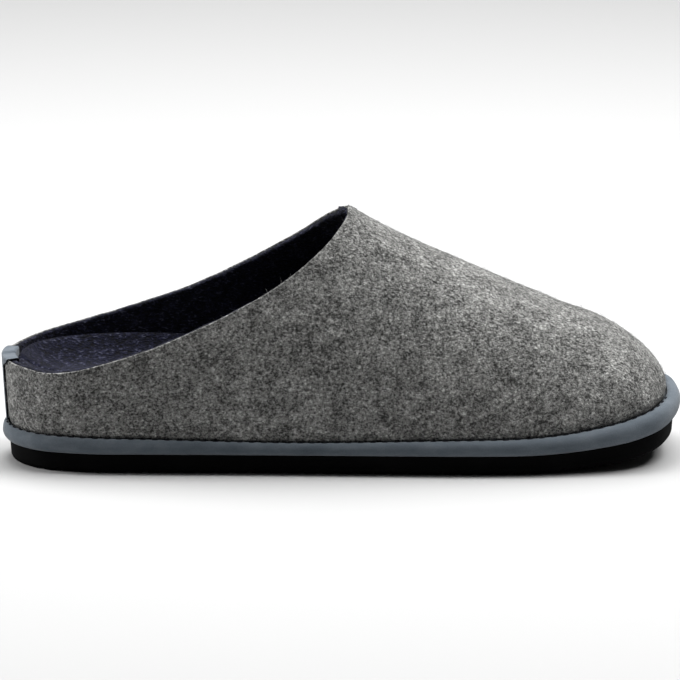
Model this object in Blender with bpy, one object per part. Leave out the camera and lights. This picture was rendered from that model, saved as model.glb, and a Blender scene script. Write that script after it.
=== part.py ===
"""Open-backed felt slipper for the right foot.

The toe points along +X, the outer side of the foot is -Y and the sole stands on Z = 0.
A black rubber outsole carries a suede-wrapped platform, the moulded felt upper stands on
the platform, a contoured footbed fills the bottom of the upper, and a suede strip covers
the back of the heel and folds over the topline.
"""

import math
from collections import namedtuple

import bmesh
import bpy
import numpy as np

# Driving sizes, in metres.
SOLE_LENGTH = 0.2855  # platform, from the back of the heel to the tip of the toe
BALL_WIDTH = 0.104  # platform, across the ball of the foot
INSTEP_HEIGHT = 0.1048  # floor to the ridge of the upper at the throat
HEEL_HEIGHT = 0.0435  # floor to the topline at the back of the heel
THROAT_PLACE = 0.1455  # back of the platform to the throat, where the topline closes
FELT_THICKNESS = 0.004  # grey felt bonded to its lining felt
OUTSOLE_THICKNESS = 0.0079
PLATFORM_THICKNESS = 0.0068  # before the shares of its table
OUTSOLE_INSET = 0.003  # the rubber stands back from the platform's side
TOE_LEDGE = 0.0058  # the platform stands out past the felt at the toe
TOE_SPRING = 0.0096  # rise of the sole at the tip of the toe
ROCKER_START = 0.203  # back of the platform to where the sole leaves the floor
FOOTBED_THICKNESS = 0.021  # at the middle of the heel
CUP_WIDTH = 0.017  # from the footbed's rim in to its flat middle
SEAT_GAP = 0.0003  # between pieces that touch
FOOTBED_CLEARANCE = 0.0006  # between the footbed's side and the lining

# Tread of the outsole: straight grooves across the whole width.
RIB_PITCH = 0.0072
GROOVE_WIDTH = 0.0030  # at the floor
GROOVE_DEPTH = 0.0012
TREAD_START = 0.016  # back of the platform to the first groove
TREAD_END_MARGIN = 0.036  # plain rubber left at the tip of the toe
OUTSOLE_EDGE_RADIUS = 0.0022
OUTSOLE_TAPER = 0.0004  # draft of the outsole's side

# Suede strip at the back of the heel.
STRIP_WIDTH = 0.020  # at the topline
STRIP_FOOT_WIDTH = 0.006  # below its flared top
STRIP_SPREAD = 0.004  # how far below the topline it starts to widen
STRIP_THICKNESS = 0.0008
STRIP_FOLD = 0.007  # how far it reaches down inside the topline
STRIP_RELIEF = 0.010  # length over which the footbed eases round the strip

HEEL_FLARE = 0.0016  # the felt leans out this far at the topline behind the heel
TOE_NOSE = 0.032  # length of the round front of the upper

# Shape of the platform's side: level of its widest line, as a share of the thickness, and
# how far it draws in past the outsole's side below that line.
PLATFORM_WAIST = 0.48
PLATFORM_TUCK = 0.0006

# Shares of the sole length over which the heel's flare and its upright walls fade out.
FLARE_END = 0.30
UPRIGHT_START = 0.12
UPRIGHT_END = 0.42

ROCKER_POWER = 2.30  # how late the toe spring comes
FLARE_POWER = 0.9  # how late up the wall the flare comes
NOSE_FULLNESS = 2.2  # of the round front of the upper, where 2 is an ellipse
CUP_POWER = 2.0  # how late towards the rim the footbed's cup rises
NOSE_ROOM = 1.3  # how much more the footbed draws in under the round front

OutlineRow = namedtuple("OutlineRow", "along outer inner")
# Platform from above: share of the sole length, then the reach of the outer and the inner
# side from the heel's centre line as shares of the ball width.
OUTLINE = (
    OutlineRow(0.014, 0.155, 0.155),
    OutlineRow(0.049, 0.262, 0.262),
    OutlineRow(0.112, 0.328, 0.330),
    OutlineRow(0.210, 0.356, 0.350),
    OutlineRow(0.333, 0.380, 0.358),
    OutlineRow(0.456, 0.408, 0.394),
    OutlineRow(0.579, 0.438, 0.460),
    OutlineRow(0.684, 0.460, 0.516),
    OutlineRow(0.779, 0.464, 0.522),
    OutlineRow(0.860, 0.440, 0.490),
    OutlineRow(0.920, 0.403, 0.447),
    OutlineRow(0.962, 0.322, 0.386),
    OutlineRow(0.988, 0.188, 0.288),
)
TOE_TIP_ACROSS = 0.060  # the toe's tip lies to the inner side, share of the ball width

ToplineRow = namedtuple("ToplineRow", "along outer inner")
# Topline: share of the way from the heel to the throat, then the share of the rise from the
# heel's height to the instep's that the outer and the inner side have reached there.
TOPLINE = (
    ToplineRow(0.00, 0.000, 0.000),
    ToplineRow(0.06, -0.008, 0.030),
    ToplineRow(0.12, -0.024, 0.064),
    ToplineRow(0.20, -0.005, 0.106),
    ToplineRow(0.30, 0.060, 0.167),
    ToplineRow(0.42, 0.150, 0.257),
    ToplineRow(0.54, 0.270, 0.356),
    ToplineRow(0.66, 0.403, 0.488),
    ToplineRow(0.78, 0.560, 0.641),
    ToplineRow(0.88, 0.728, 0.786),
    ToplineRow(0.94, 0.850, 0.892),
    ToplineRow(1.00, 0.995, 0.995),
)

CrestRow = namedtuple("CrestRow", "along height across fullness")
# Ridge of the upper, from -1 at the heel over 0 at the throat to 1 at the tip of the toe:
# height above the floor as a share of the instep height, reach to the inner side as a share
# of the ball width, and the fullness of the arch below it, where 1 is an ellipse and less
# is boxier. Behind the throat it is the line of the instep that the opening cuts away.
CREST = (
    CrestRow(-1.00, 1.640, 0.000, 0.92),
    CrestRow(-0.50, 1.310, 0.010, 0.92),
    CrestRow(0.00, 1.005, 0.025, 0.92),
    CrestRow(0.10, 0.925, 0.030, 0.91),
    CrestRow(0.21, 0.852, 0.035, 0.90),
    CrestRow(0.40, 0.733, 0.045, 0.86),
    CrestRow(0.60, 0.614, 0.050, 0.82),
    CrestRow(0.80, 0.512, 0.048, 0.80),
    CrestRow(1.00, 0.425, 0.040, 0.80),
)

RollRow = namedtuple("RollRow", "along ledge thickness")
# Side of the platform: share of the sole length, then how far it stands out past the felt
# as a share of the ledge at the toe, and its thickness as a share of the platform's.
ROLL = (
    RollRow(0.00, 0.45, 1.15),
    RollRow(0.22, 0.45, 0.99),
    RollRow(0.42, 0.48, 0.83),
    RollRow(0.62, 0.58, 0.97),
    RollRow(0.82, 0.74, 1.14),
    RollRow(1.00, 1.00, 1.56),
)

FootbedRow = namedtuple("FootbedRow", "along middle outer inner")
# Footbed: share of the sole length, then its thickness in the middle and at its outer and
# inner rim as shares of its thickness at the heel.
FOOTBED = (
    FootbedRow(0.00, 1.00, 1.26, 1.26),
    FootbedRow(0.06, 0.99, 1.22, 1.38),
    FootbedRow(0.13, 0.97, 1.18, 1.44),
    FootbedRow(0.25, 0.93, 1.14, 1.47),
    FootbedRow(0.36, 0.80, 1.00, 1.36),
    FootbedRow(0.50, 0.57, 0.66, 0.85),
    FootbedRow(0.65, 0.41, 0.42, 0.46),
    FootbedRow(0.80, 0.33, 0.33, 0.34),
    FootbedRow(1.00, 0.29, 0.29, 0.29),
)

OUTER, INNER = -1.0, 1.0  # sides of the foot, as signs of Y

# How finely the shapes are divided.
SOLE_STATIONS = 44
REAR_STATIONS = 24
FRONT_STATIONS = 22
WALL_ROWS = 10
SIDE_ROWS = 3
CUP_ROWS = 4
STRIP_COLUMNS = 4
STRIP_ROWS = 8
CORNER_STEPS = 4
SAMPLES_PER_ROW = 60  # of the outline, between two rows of its table
SHARP_ANGLE = math.radians(40.0)  # edges that turn by more are shaded as edges


def column(rows, name):
    return np.array([getattr(row, name) for row in rows])


def smooth(knots, values, at):
    """Cubic curve through the values at the knots, read at the given places."""
    slopes = np.gradient(values, knots, axis=0)
    cell = np.clip(np.searchsorted(knots, at, side="right") - 1, 0, len(knots) - 2)
    width = knots[cell + 1] - knots[cell]
    part = (at - knots[cell]) / width
    if values.ndim > 1:
        part, width = part[:, None], width[:, None]
    rise = values[cell + 1] - values[cell]
    start = part * (part - 1.0) ** 2 * slopes[cell] * width
    end = part * part * (part - 1.0) * slopes[cell + 1] * width
    return values[cell] + (3.0 - 2.0 * part) * part * part * rise + start + end


def ease(value, low, high):
    """0 below low, 1 above high, and smooth between."""
    part = np.clip((value - low) / (high - low), 0.0, 1.0)
    return part * part * (3.0 - 2.0 * part)


def cosine_steps(start, end, count):
    """Places from start to end that lie closer together towards both ends."""
    return start + (end - start) * (1.0 - np.cos(np.linspace(0.0, math.pi, count + 1))) / 2.0


def sole_rise(x):
    """Height of the sole's curve above the floor: flat, then up to the toe."""
    part = np.clip((x - ROCKER_START) / (SOLE_LENGTH - ROCKER_START), 0.0, 1.0)
    return TOE_SPRING * part**ROCKER_POWER


def roll(name, x):
    """A column of the table of the platform's side, read at stations."""
    return smooth(column(ROLL, "along") * SOLE_LENGTH, column(ROLL, name), x)


def platform_height(x, share):
    """Height on the platform's side at a share of its thickness."""
    thickness = PLATFORM_THICKNESS * roll("thickness", x)
    return OUTSOLE_THICKNESS + SEAT_GAP + thickness * share + sole_rise(x)


def upper_foot(x):
    """Height at which the upper and the footbed stand on the platform."""
    return platform_height(x, 1.0) + SEAT_GAP


def platform_loop():
    """Closed outline of the platform: from the heel along the outer side and back inside."""
    along = column(OUTLINE, "along") * SOLE_LENGTH
    outer = np.column_stack([along, -column(OUTLINE, "outer") * BALL_WIDTH])
    inner = np.column_stack([along, column(OUTLINE, "inner") * BALL_WIDTH])[::-1]
    tip = np.array([[SOLE_LENGTH, TOE_TIP_ACROSS * BALL_WIDTH]])
    points = np.vstack([np.zeros((1, 2)), outer, tip, inner])
    count = len(points)
    overlap = 3  # points repeated at each end, so that the curve is smooth where it closes
    around = np.vstack([points[-overlap:], points, points[: overlap + 1]])
    steps = np.linalg.norm(np.diff(around, axis=0), axis=1)
    knots = np.concatenate([[0.0], np.cumsum(steps)])
    places = np.arange(count * SAMPLES_PER_ROW) / SAMPLES_PER_ROW
    at = np.interp(places, np.arange(count + 1), knots[overlap : overlap + count + 1])
    return smooth(knots, around, at)


def inset_loop(loop, distance):
    """The outline moved inwards by a distance, which may change from point to point."""
    along = np.roll(loop, -1, axis=0) - np.roll(loop, 1, axis=0)
    along /= np.linalg.norm(along, axis=1)[:, None]
    inwards = np.column_stack([-along[:, 1], along[:, 0]])
    return loop + inwards * np.reshape(distance, (-1, 1))


class Outline:
    """Outline of a sole piece, whose two sides can be read at any station along it."""

    def __init__(self, loop):
        back, front = np.argmin(loop[:, 0]), np.argmax(loop[:, 0])
        turned = np.roll(loop, -back, axis=0)
        split = (front - back) % len(loop)
        inner = np.vstack([turned[split:], turned[:1]])[::-1]
        self.sides = {OUTER: turned[: split + 1], INNER: inner}
        self.back, self.front = loop[back], loop[front]

    def y(self, side, x):
        points = self.sides[side]
        return np.interp(x, np.maximum.accumulate(points[:, 0]), points[:, 1])

    def x_near_heel(self, side, reach):
        """Stations at which the side lies a reach away from the heel's back point."""
        points = self.sides[side]
        across = np.abs(points[:, 1] - self.back[1])
        widest = np.argmax(across)
        return np.interp(reach, across[:widest], points[:widest, 0])

    def outwards(self, side, x):
        """Directions that point out of the outline, level, at stations on one side."""
        step = SOLE_LENGTH / (len(OUTLINE) * SAMPLES_PER_ROW)
        low, high = np.maximum(x - step, self.back[0]), np.minimum(x + step, self.front[0])
        run, rise = high - low, self.y(side, high) - self.y(side, low)
        direction = np.column_stack([-side * rise, side * run])
        direction[x <= self.back[0]] = (-1.0, 0.0)
        return direction / np.linalg.norm(direction, axis=1)[:, None]


PLATFORM_LOOP = platform_loop()
LEDGE = TOE_LEDGE * roll("ledge", PLATFORM_LOOP[:, 0])
FELT_LOOP = inset_loop(PLATFORM_LOOP, LEDGE)
FELT_FOOT = Outline(FELT_LOOP)


def crest(name, x):
    """A column of the ridge's table, read at stations."""
    rear = x / THROAT_PLACE - 1.0
    front = (x - THROAT_PLACE) / (SOLE_LENGTH - THROAT_PLACE)
    place = np.where(x < THROAT_PLACE, rear, front)
    return smooth(column(CREST, "along"), column(CREST, name), place)


def open_ridge(x):
    """Height of the ridge above the upper's foot, before the nose is rounded."""
    return crest("height", x) * INSTEP_HEIGHT - upper_foot(x)


def ridge_height(x):
    """Height of the ridge above the upper's foot, rounded off at the nose."""
    nose = np.clip((x - FELT_FOOT.front[0] + TOE_NOSE) / TOE_NOSE, 0.0, 1.0)
    return open_ridge(x) * (1.0 - nose**NOSE_FULLNESS) ** (1.0 / NOSE_FULLNESS)


def ridge_across(x):
    """Where the ridge lies across the foot. It ends at the tips of the felt's outline."""
    front, back = FELT_FOOT.front, FELT_FOOT.back
    line = crest("across", x) * BALL_WIDTH
    line += (front[1] - line) * ease(x, front[0] - TOE_NOSE, front[0])
    return back[1] + (line - back[1]) * ease(x, back[0], TOE_NOSE)


def topline_height(side, x):
    """Height of the opening's edge above the upper's foot, on one side."""
    place = np.clip(x / THROAT_PLACE, 0.0, 1.0)
    shares = column(TOPLINE, "outer" if side == OUTER else "inner")
    share = smooth(column(TOPLINE, "along"), shares, place)
    return HEEL_HEIGHT + share * (INSTEP_HEIGHT - HEEL_HEIGHT) - upper_foot(x)


def upright(x):
    """1 where the wall stands straight up, and 0 where it is part of the arch."""
    return 1.0 - ease(x, UPRIGHT_START * SOLE_LENGTH, UPRIGHT_END * SOLE_LENGTH)


def flare(x, height):
    """How far the wall leans out behind and beside the heel."""
    share = np.maximum(height, 0.0) / (HEEL_HEIGHT - upper_foot(0.0))
    return HEEL_FLARE * share**FLARE_POWER * (1.0 - ease(x, 0.0, FLARE_END * SOLE_LENGTH))


def felt_wall(side, x):
    """Outer face of the upper on one side, as a grid of stations by rows up the wall.

    Each station is an arch from the foot of the wall towards the ridge. Behind the throat
    the arch stops at the topline, and towards the heel the wall stands up and flares out.
    """
    foot_y = FELT_FOOT.y(side, x)[:, None]
    ridge_y = ridge_across(x)[:, None]
    ridge = ridge_height(x)
    at_throat = len(x) - 1 - FRONT_STATIONS
    share = np.ones(len(x))
    share[:at_throat] = topline_height(side, x[:at_throat]) / ridge[:at_throat]
    angle = np.arcsin(share)[:, None] * np.linspace(0.0, 1.0, WALL_ROWS + 1)
    height = ridge[:, None] * np.sin(angle)
    spread = np.maximum(np.cos(angle), 0.0) ** crest("fullness", x)[:, None]
    arch_y = ridge_y + (foot_y - ridge_y) * spread
    outwards = FELT_FOOT.outwards(side, x)
    lean = flare(x[:, None], height)
    straight = upright(x)[:, None]
    grid = np.empty(height.shape + (3,))
    grid[..., 0] = x[:, None] + lean * outwards[:, :1]
    grid[..., 1] = (foot_y + lean * outwards[:, 1:]) * straight + arch_y * (1.0 - straight)
    grid[..., 2] = height + upper_foot(x)[:, None]
    return grid


def grid_faces(numbers, turned=False):
    """Quads, or triangles where corners coincide, between the neighbours of a grid."""
    corners = (numbers[:-1, :-1], numbers[1:, :-1], numbers[1:, 1:], numbers[:-1, 1:])
    faces = []
    for quad in zip(*(corner.ravel().tolist() for corner in corners)):
        face = list(dict.fromkeys(quad))
        if len(face) > 2:
            faces.append(face[::-1] if turned else face)
    return faces


def point_normals(points, faces):
    """Unit normals of the points, each the mean of its faces' normals by their area."""
    normals = np.zeros_like(points)
    for face in faces:
        across = points[face[2]] - points[face[0]]
        normals[face] += np.cross(across, points[face[-1]] - points[face[1]])
    return normals / np.linalg.norm(normals, axis=1)[:, None]


def surface_material(name, colour, roughness):
    made = bpy.data.materials.new(name)
    made.use_nodes = True
    shader = made.node_tree.nodes["Principled BSDF"]
    shader.inputs["Base Color"].default_value = (*colour, 1.0)
    shader.inputs["Roughness"].default_value = roughness
    shader.inputs["Metallic"].default_value = 0.0
    return made


def add_piece(name, points, faces, surface=None):
    """Mesh object from points and faces, with its normals pointing outwards."""
    mesh = bpy.data.meshes.new(name)
    mesh.from_pydata(points.tolist(), [], faces)
    shape = bmesh.new()
    shape.from_mesh(mesh)
    bmesh.ops.recalc_face_normals(shape, faces=shape.faces[:])
    shape.to_mesh(mesh)
    shape.free()
    mesh.shade_smooth()
    mesh.set_sharp_from_angle(angle=SHARP_ANGLE)
    piece = bpy.data.objects.new(name, mesh)
    if surface:
        mesh.materials.append(surface)
    bpy.context.scene.collection.objects.link(piece)
    return piece


def ring(loop, height):
    """The outline at matching stations on both sides, from the heel round by the outer side.

    The height is a function of the station and of the side of the foot.
    """
    outline = Outline(loop)
    x = cosine_steps(outline.back[0], outline.front[0], SOLE_STATIONS)
    back = x[-2:0:-1]
    outer = np.column_stack([x, outline.y(OUTER, x), height(x, OUTER)])
    inner = np.column_stack([back, outline.y(INNER, back), height(back, INNER)])
    return np.vstack([outer, inner])


def ladder_faces(first):
    """Faces that close a ring from side to side, whose points start at the number first."""
    size = 2 * SOLE_STATIONS
    faces = [[first, first + 1, first + size - 1]]
    for step in range(1, SOLE_STATIONS - 1):
        near, far = first + step, first + size - step
        faces.append([near, near + 1, far - 1, far])
    faces.append([first + SOLE_STATIONS - 1, first + SOLE_STATIONS, first + SOLE_STATIONS + 1])
    return faces


def stacked_rings(rings):
    """Points and faces of a solid made of rings, closed at the first and at the last."""
    size = len(rings[0])
    numbers = np.arange(len(rings) * size).reshape(len(rings), size)
    around = np.column_stack([numbers, numbers[:, :1]])
    ends = ladder_faces(0) + ladder_faces(int(numbers[-1, 0]))
    return np.vstack(rings), grid_faces(around) + ends


def add_outsole(surface):
    """Rubber outsole with a rounded lower edge, and the grooves cut across it."""
    angles = np.linspace(0.0, math.pi / 2.0, CORNER_STEPS)
    insets = OUTSOLE_TAPER + OUTSOLE_EDGE_RADIUS * (1.0 - np.sin(angles))
    levels = OUTSOLE_EDGE_RADIUS * (1.0 - np.cos(angles))
    rings = []
    for inset, level in zip([*insets, 0.0], [*levels, OUTSOLE_THICKNESS]):
        loop = inset_loop(PLATFORM_LOOP, OUTSOLE_INSET + inset)
        rings.append(ring(loop, lambda x, side, level=level: level + sole_rise(x)))
    outsole = add_piece("outsole", *stacked_rings(rings), surface)
    grooves = outsole.modifiers.new("grooves", "BOOLEAN")
    grooves.operation = "DIFFERENCE"
    grooves.solver = "EXACT"
    grooves.object = add_groove_cutter()
    return outsole


def add_groove_cutter():
    """Troughs across the sole, narrower at their floor, joined in one hidden cutter."""
    below = GROOVE_DEPTH  # how far the cutter reaches down past the sole
    slope = GROOVE_WIDTH / (4.0 * GROOVE_DEPTH)
    wide = GROOVE_WIDTH / 2.0 + slope * below
    narrow = GROOVE_WIDTH / 2.0 - slope * GROOVE_DEPTH
    section = ((-wide, -below), (wide, -below), (narrow, GROOVE_DEPTH), (-narrow, GROOVE_DEPTH))
    corners = len(section)
    points, faces = [], []
    for place in np.arange(TREAD_START, SOLE_LENGTH - TREAD_END_MARGIN, RIB_PITCH):
        first = len(points)
        second = first + corners
        for side in (OUTER, INNER):
            for along, up in section:
                points.append((place + along, side * BALL_WIDTH, sole_rise(place) + up))
        faces += [list(range(first, second)), list(range(second, second + corners))]
        for k in range(corners):
            after = (k + 1) % corners
            faces.append([first + k, first + after, second + after, second + k])
    cutter = add_piece("groove_cutter", np.array(points), faces)
    cutter.hide_render = True
    cutter.display_type = "WIRE"
    return cutter


def add_platform(surface):
    """Suede-wrapped platform, whose side rolls in to the outsole and to the felt's foot."""
    angles = np.linspace(0.0, math.pi / 2.0, CORNER_STEPS + 1)
    tuck = OUTSOLE_INSET + PLATFORM_TUCK
    profile = []
    for sine, cosine in zip(np.sin(angles), np.cos(angles)):
        profile.append((tuck * (1.0 - sine), PLATFORM_WAIST * (1.0 - cosine)))
    for sine, cosine in zip(np.sin(angles[1:]), np.cos(angles[1:])):
        profile.append((LEDGE * (1.0 - cosine), PLATFORM_WAIST + (1.0 - PLATFORM_WAIST) * sine))
    rings = []
    for inset, share in profile:
        loop = inset_loop(PLATFORM_LOOP, inset)
        rings.append(ring(loop, lambda x, side, share=share: platform_height(x, share)))
    return add_piece("platform", *stacked_rings(rings), surface)


def add_upper(surface):
    """Hollow felt upper: outer face, inner face at the felt's thickness, and cut edges."""
    rear = cosine_steps(FELT_FOOT.back[0], THROAT_PLACE, REAR_STATIONS)
    sines = np.sin(np.linspace(0.0, math.pi / 2.0, FRONT_STATIONS + 1))
    front = THROAT_PLACE + (FELT_FOOT.front[0] - THROAT_PLACE) * sines
    x = np.concatenate([rear, front[1:]])
    walls = np.stack([felt_wall(side, x) for side in (OUTER, INNER)])
    numbers = np.arange(walls[..., 0].size).reshape(walls.shape[:3])
    numbers[1, 0] = numbers[0, 0]
    numbers[1, REAR_STATIONS:, -1] = numbers[0, REAR_STATIONS:, -1]
    numbers[:, -1] = numbers[0, -1, -1]
    used, numbers = np.unique(numbers, return_inverse=True)
    outer, inner = numbers.reshape(walls.shape[:3])
    points = walls.reshape(-1, 3)[used]
    skin = grid_faces(outer) + grid_faces(inner, turned=True)
    normals = point_normals(points, skin)
    foot = np.unique([outer[:, 0], inner[:, 0]])
    normals[foot, 2] = 0.0
    normals[foot] /= np.linalg.norm(normals[foot], axis=1)[:, None]
    lining = points - normals * FELT_THICKNESS
    lining[foot, 2] = upper_foot(lining[foot, 0])
    size = len(points)
    faces = skin + [[number + size for number in face] for face in skin]
    collar = slice(0, REAR_STATIONS + 1)
    for edge in (outer[:, 0], inner[:, 0], outer[collar, -1], inner[collar, -1]):
        faces += grid_faces(np.column_stack([edge, edge + size]))
    return add_piece("upper", np.vstack([points, lining]), faces, surface)


def wall_draw(x, half_width, height):
    """How far the felt's arch has drawn in from its foot at a height above it."""
    share = np.clip(height / open_ridge(x), 0.0, 1.0)
    arch = 1.0 - (1.0 - share**2) ** (crest("fullness", x) / 2.0)
    return half_width * arch * (1.0 - upright(x)) - flare(x, height)


def add_footbed(surface):
    """Felt-covered footbed that fits the lining, cupped at the heel and raised at the arch."""
    x, y = FELT_LOOP.T
    middle_y = np.interp(x, *np.array([FELT_FOOT.back, FELT_FOOT.front]).T)
    side_of = np.where(y < middle_y, OUTER, INNER)
    along = column(FOOTBED, "along") * SOLE_LENGTH
    thickness = {}
    for name in ("middle", "outer", "inner"):
        thickness[name] = column(FOOTBED, name) * FOOTBED_THICKNESS

    def rim(at, side):
        outer, inner = (smooth(along, thickness[name], at) for name in ("outer", "inner"))
        return np.where(side == OUTER, outer, inner)

    half_width = np.maximum(np.abs(y - ridge_across(x)), NOSE_ROOM * TOE_NOSE)
    strip_reach = STRIP_WIDTH / 2.0
    beside_strip = ease(np.abs(y - FELT_FOOT.back[1]), strip_reach, strip_reach + STRIP_RELIEF)
    relief = (STRIP_THICKNESS + SEAT_GAP) * (1.0 - beside_strip) * upright(x)
    seat = FELT_THICKNESS + FOOTBED_CLEARANCE + relief
    rings = []
    for share in np.linspace(0.0, 1.0, SIDE_ROWS + 1):
        inset = seat + wall_draw(x, half_width, rim(x, side_of) * share)

        def wall_height(at, side, share=share):
            return upper_foot(at) + rim(at, side) * share

        rings.append(ring(inset_loop(FELT_LOOP, inset), wall_height))
    for step in range(1, CUP_ROWS + 1):
        share = step / CUP_ROWS
        inset = seat + wall_draw(x, half_width, rim(x, side_of)) + CUP_WIDTH * share
        left = (1.0 - share) ** CUP_POWER

        def cup_height(at, side, left=left):
            middle = smooth(along, thickness["middle"], at)
            return upper_foot(at) + middle + (rim(at, side) - middle) * left

        rings.append(ring(inset_loop(FELT_LOOP, inset), cup_height))
    return add_piece("footbed", *stacked_rings(rings), surface)


def strip_steps():
    """Steps of the strip's path, from the foot of the felt over the topline and down inside.

    For each step: the share of the outer face climbed, the turn round the felt's cut edge,
    0 at its outer corner or 1 at its inner one, and the way gone down inside.
    """
    climbs = np.sin(np.linspace(0.0, math.pi / 2.0, STRIP_ROWS + 1))
    turns = np.linspace(0.0, math.pi / 2.0, CORNER_STEPS)
    falls = np.linspace(0.0, STRIP_FOLD, CORNER_STEPS)[1:]
    climb = np.concatenate([climbs, np.ones(3 * CORNER_STEPS - 2)])
    turn = np.concatenate([0.0 * climbs, turns[1:], math.pi / 2.0 + turns, math.pi + 0.0 * falls])
    inside = np.where(np.arange(len(climb)) < STRIP_ROWS + CORNER_STEPS, 0.0, 1.0)
    fall = np.concatenate([np.zeros(len(climb) - len(falls)), falls])
    return climb, turn, inside, fall


def strip_path(side, x, steps):
    """Base points and directions of the path, with a station for each of its steps.

    They lie in the wall's own plane, which has the level direction out of the heel and the
    height above the felt's foot.
    """
    climb, turn, inside, fall = steps
    height = SEAT_GAP + (topline_height(side, x) - SEAT_GAP) * climb - fall
    lean = flare(x, height + SEAT_GAP) - flare(x, height - SEAT_GAP)
    tilt = np.arctan(lean / (2.0 * SEAT_GAP))
    across = inside * FELT_THICKNESS
    out = flare(x, height) - across * np.cos(tilt)
    return out, height + across * np.sin(tilt), turn - tilt


def add_heel_strip(surface):
    """Suede strip that wraps the back of the heel and widens where it folds over the topline."""
    steps = strip_steps()
    below = (1.0 - steps[0]) * (HEEL_HEIGHT - upper_foot(0.0))
    widening = (STRIP_WIDTH - STRIP_FOOT_WIDTH) * (1.0 - ease(below, 0.0, STRIP_SPREAD))
    half_width = (STRIP_FOOT_WIDTH + widening) / 2.0
    skins = {SEAT_GAP: [], SEAT_GAP + STRIP_THICKNESS: []}
    for share in np.linspace(OUTER, INNER, 2 * STRIP_COLUMNS + 1):
        side = OUTER if share < 0.0 else INNER
        x = FELT_FOOT.x_near_heel(side, abs(share) * half_width)
        foot = np.column_stack([x, FELT_FOOT.y(side, x)])
        outwards = FELT_FOOT.outwards(side, x)
        out, up, direction = strip_path(side, x, steps)
        for offset, skin in skins.items():
            level = foot + (out + offset * np.cos(direction))[:, None] * outwards
            height = up + offset * np.sin(direction) + upper_foot(x)
            skin.append(np.column_stack([level, height]))
    grids = np.stack([np.array(skin) for skin in skins.values()])
    numbers = np.arange(grids[..., 0].size).reshape(grids.shape[:3])
    near, far = numbers
    faces = grid_faces(near) + grid_faces(far)
    for edge in (np.s_[0, :], np.s_[-1, :], np.s_[:, 0], np.s_[:, -1]):
        faces += grid_faces(np.column_stack([near[edge], far[edge]]))
    return add_piece("heel_strip", grids.reshape(-1, 3), faces, surface)


def stand_on_origin(pieces, guides):
    """Parents everything to an empty that puts the middle of the pieces over the origin."""
    corners = np.array([vertex.co for piece in pieces for vertex in piece.data.vertices])
    low, high = corners.min(axis=0), corners.max(axis=0)
    middle = (low + high) / 2.0
    slipper = bpy.data.objects.new("slipper", None)
    bpy.context.scene.collection.objects.link(slipper)
    slipper.location = (-middle[0], -middle[1], -low[2])
    for thing in pieces + guides:
        thing.parent = slipper


def build():
    for old in list(bpy.data.objects):
        bpy.data.objects.remove(old, do_unlink=True)
    rubber = surface_material("rubber", (0.012, 0.012, 0.013), 0.62)
    suede = surface_material("suede", (0.115, 0.135, 0.150), 0.92)
    grey_felt = surface_material("grey_felt", (0.190, 0.195, 0.205), 1.0)
    navy_felt = surface_material("navy_felt", (0.018, 0.020, 0.045), 1.0)
    outsole = add_outsole(rubber)
    soft = [add_platform(suede), add_upper(grey_felt), add_footbed(navy_felt), add_heel_strip(suede)]
    stand_on_origin([outsole] + soft, guides=[outsole.modifiers["grooves"].object])


build()
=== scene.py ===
import math

import bmesh
import bpy
import numpy as np
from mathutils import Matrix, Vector


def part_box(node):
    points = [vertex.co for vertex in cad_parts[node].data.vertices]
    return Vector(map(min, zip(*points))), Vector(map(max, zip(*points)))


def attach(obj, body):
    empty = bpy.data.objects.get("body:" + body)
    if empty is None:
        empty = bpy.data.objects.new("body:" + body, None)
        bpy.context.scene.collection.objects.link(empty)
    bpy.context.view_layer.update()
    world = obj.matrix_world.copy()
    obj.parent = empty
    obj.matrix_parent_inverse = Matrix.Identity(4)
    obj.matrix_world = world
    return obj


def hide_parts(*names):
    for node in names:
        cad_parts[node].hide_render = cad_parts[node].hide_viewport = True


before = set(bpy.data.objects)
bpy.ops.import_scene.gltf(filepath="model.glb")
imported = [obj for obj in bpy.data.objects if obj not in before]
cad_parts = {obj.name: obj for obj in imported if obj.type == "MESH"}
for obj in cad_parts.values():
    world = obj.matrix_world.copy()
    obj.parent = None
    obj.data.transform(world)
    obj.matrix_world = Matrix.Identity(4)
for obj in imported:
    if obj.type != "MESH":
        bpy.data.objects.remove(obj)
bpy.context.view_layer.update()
print("frame loaded:", sorted(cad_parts))

# The last: sizes in metres, X from the back of the platform to the toe, outer side at -Y
last = {
    "length": 0.2855,
    "ballWidth": 0.104,
    "instepHeight": 0.1048,
    "heelHeight": 0.0435,  # to the topline
    "throat": 0.1455,  # where the topline meets the ridge
    "felt": 0.004,
    "outsole": 0.0079,
    "platform": 0.0068,
    "outsoleInset": 0.003,
    "ledge": 0.0058,  # from the felt's foot to the platform's edge
    "toeSpring": 0.0096,
    "rockerStart": 0.203,
    "rockerPower": 2.30,
    "footbed": 0.021,
    "cupWidth": 0.017,
    "cupPower": 2.0,
    "seatGap": 0.0003,  # between pieces that touch
    "footbedClearance": 0.0006,
    "heelFlare": 0.0016,
    "flarePower": 0.9,
    "flareEnd": 0.30,  # share of the length, as the next two
    "uprightStart": 0.12,
    "uprightEnd": 0.42,
    "toeNose": 0.032,
    "noseFullness": 2.2,
    "noseRoom": 1.3,
    "tipAcross": 0.060,
    "waist": 0.48,
    "tuck": 0.0006,
}

# Tables of the last, as shares of the sizes above
# outline: along the sole, outer reach, inner reach
outlineRows = np.array([
    (0.014, 0.155, 0.155), (0.049, 0.262, 0.262), (0.112, 0.328, 0.330), (0.210, 0.356, 0.350),
    (0.333, 0.380, 0.358), (0.456, 0.408, 0.394), (0.579, 0.438, 0.460), (0.684, 0.460, 0.516),
    (0.779, 0.464, 0.522), (0.860, 0.440, 0.490), (0.920, 0.403, 0.447), (0.962, 0.322, 0.386),
    (0.988, 0.188, 0.288),
])
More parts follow.
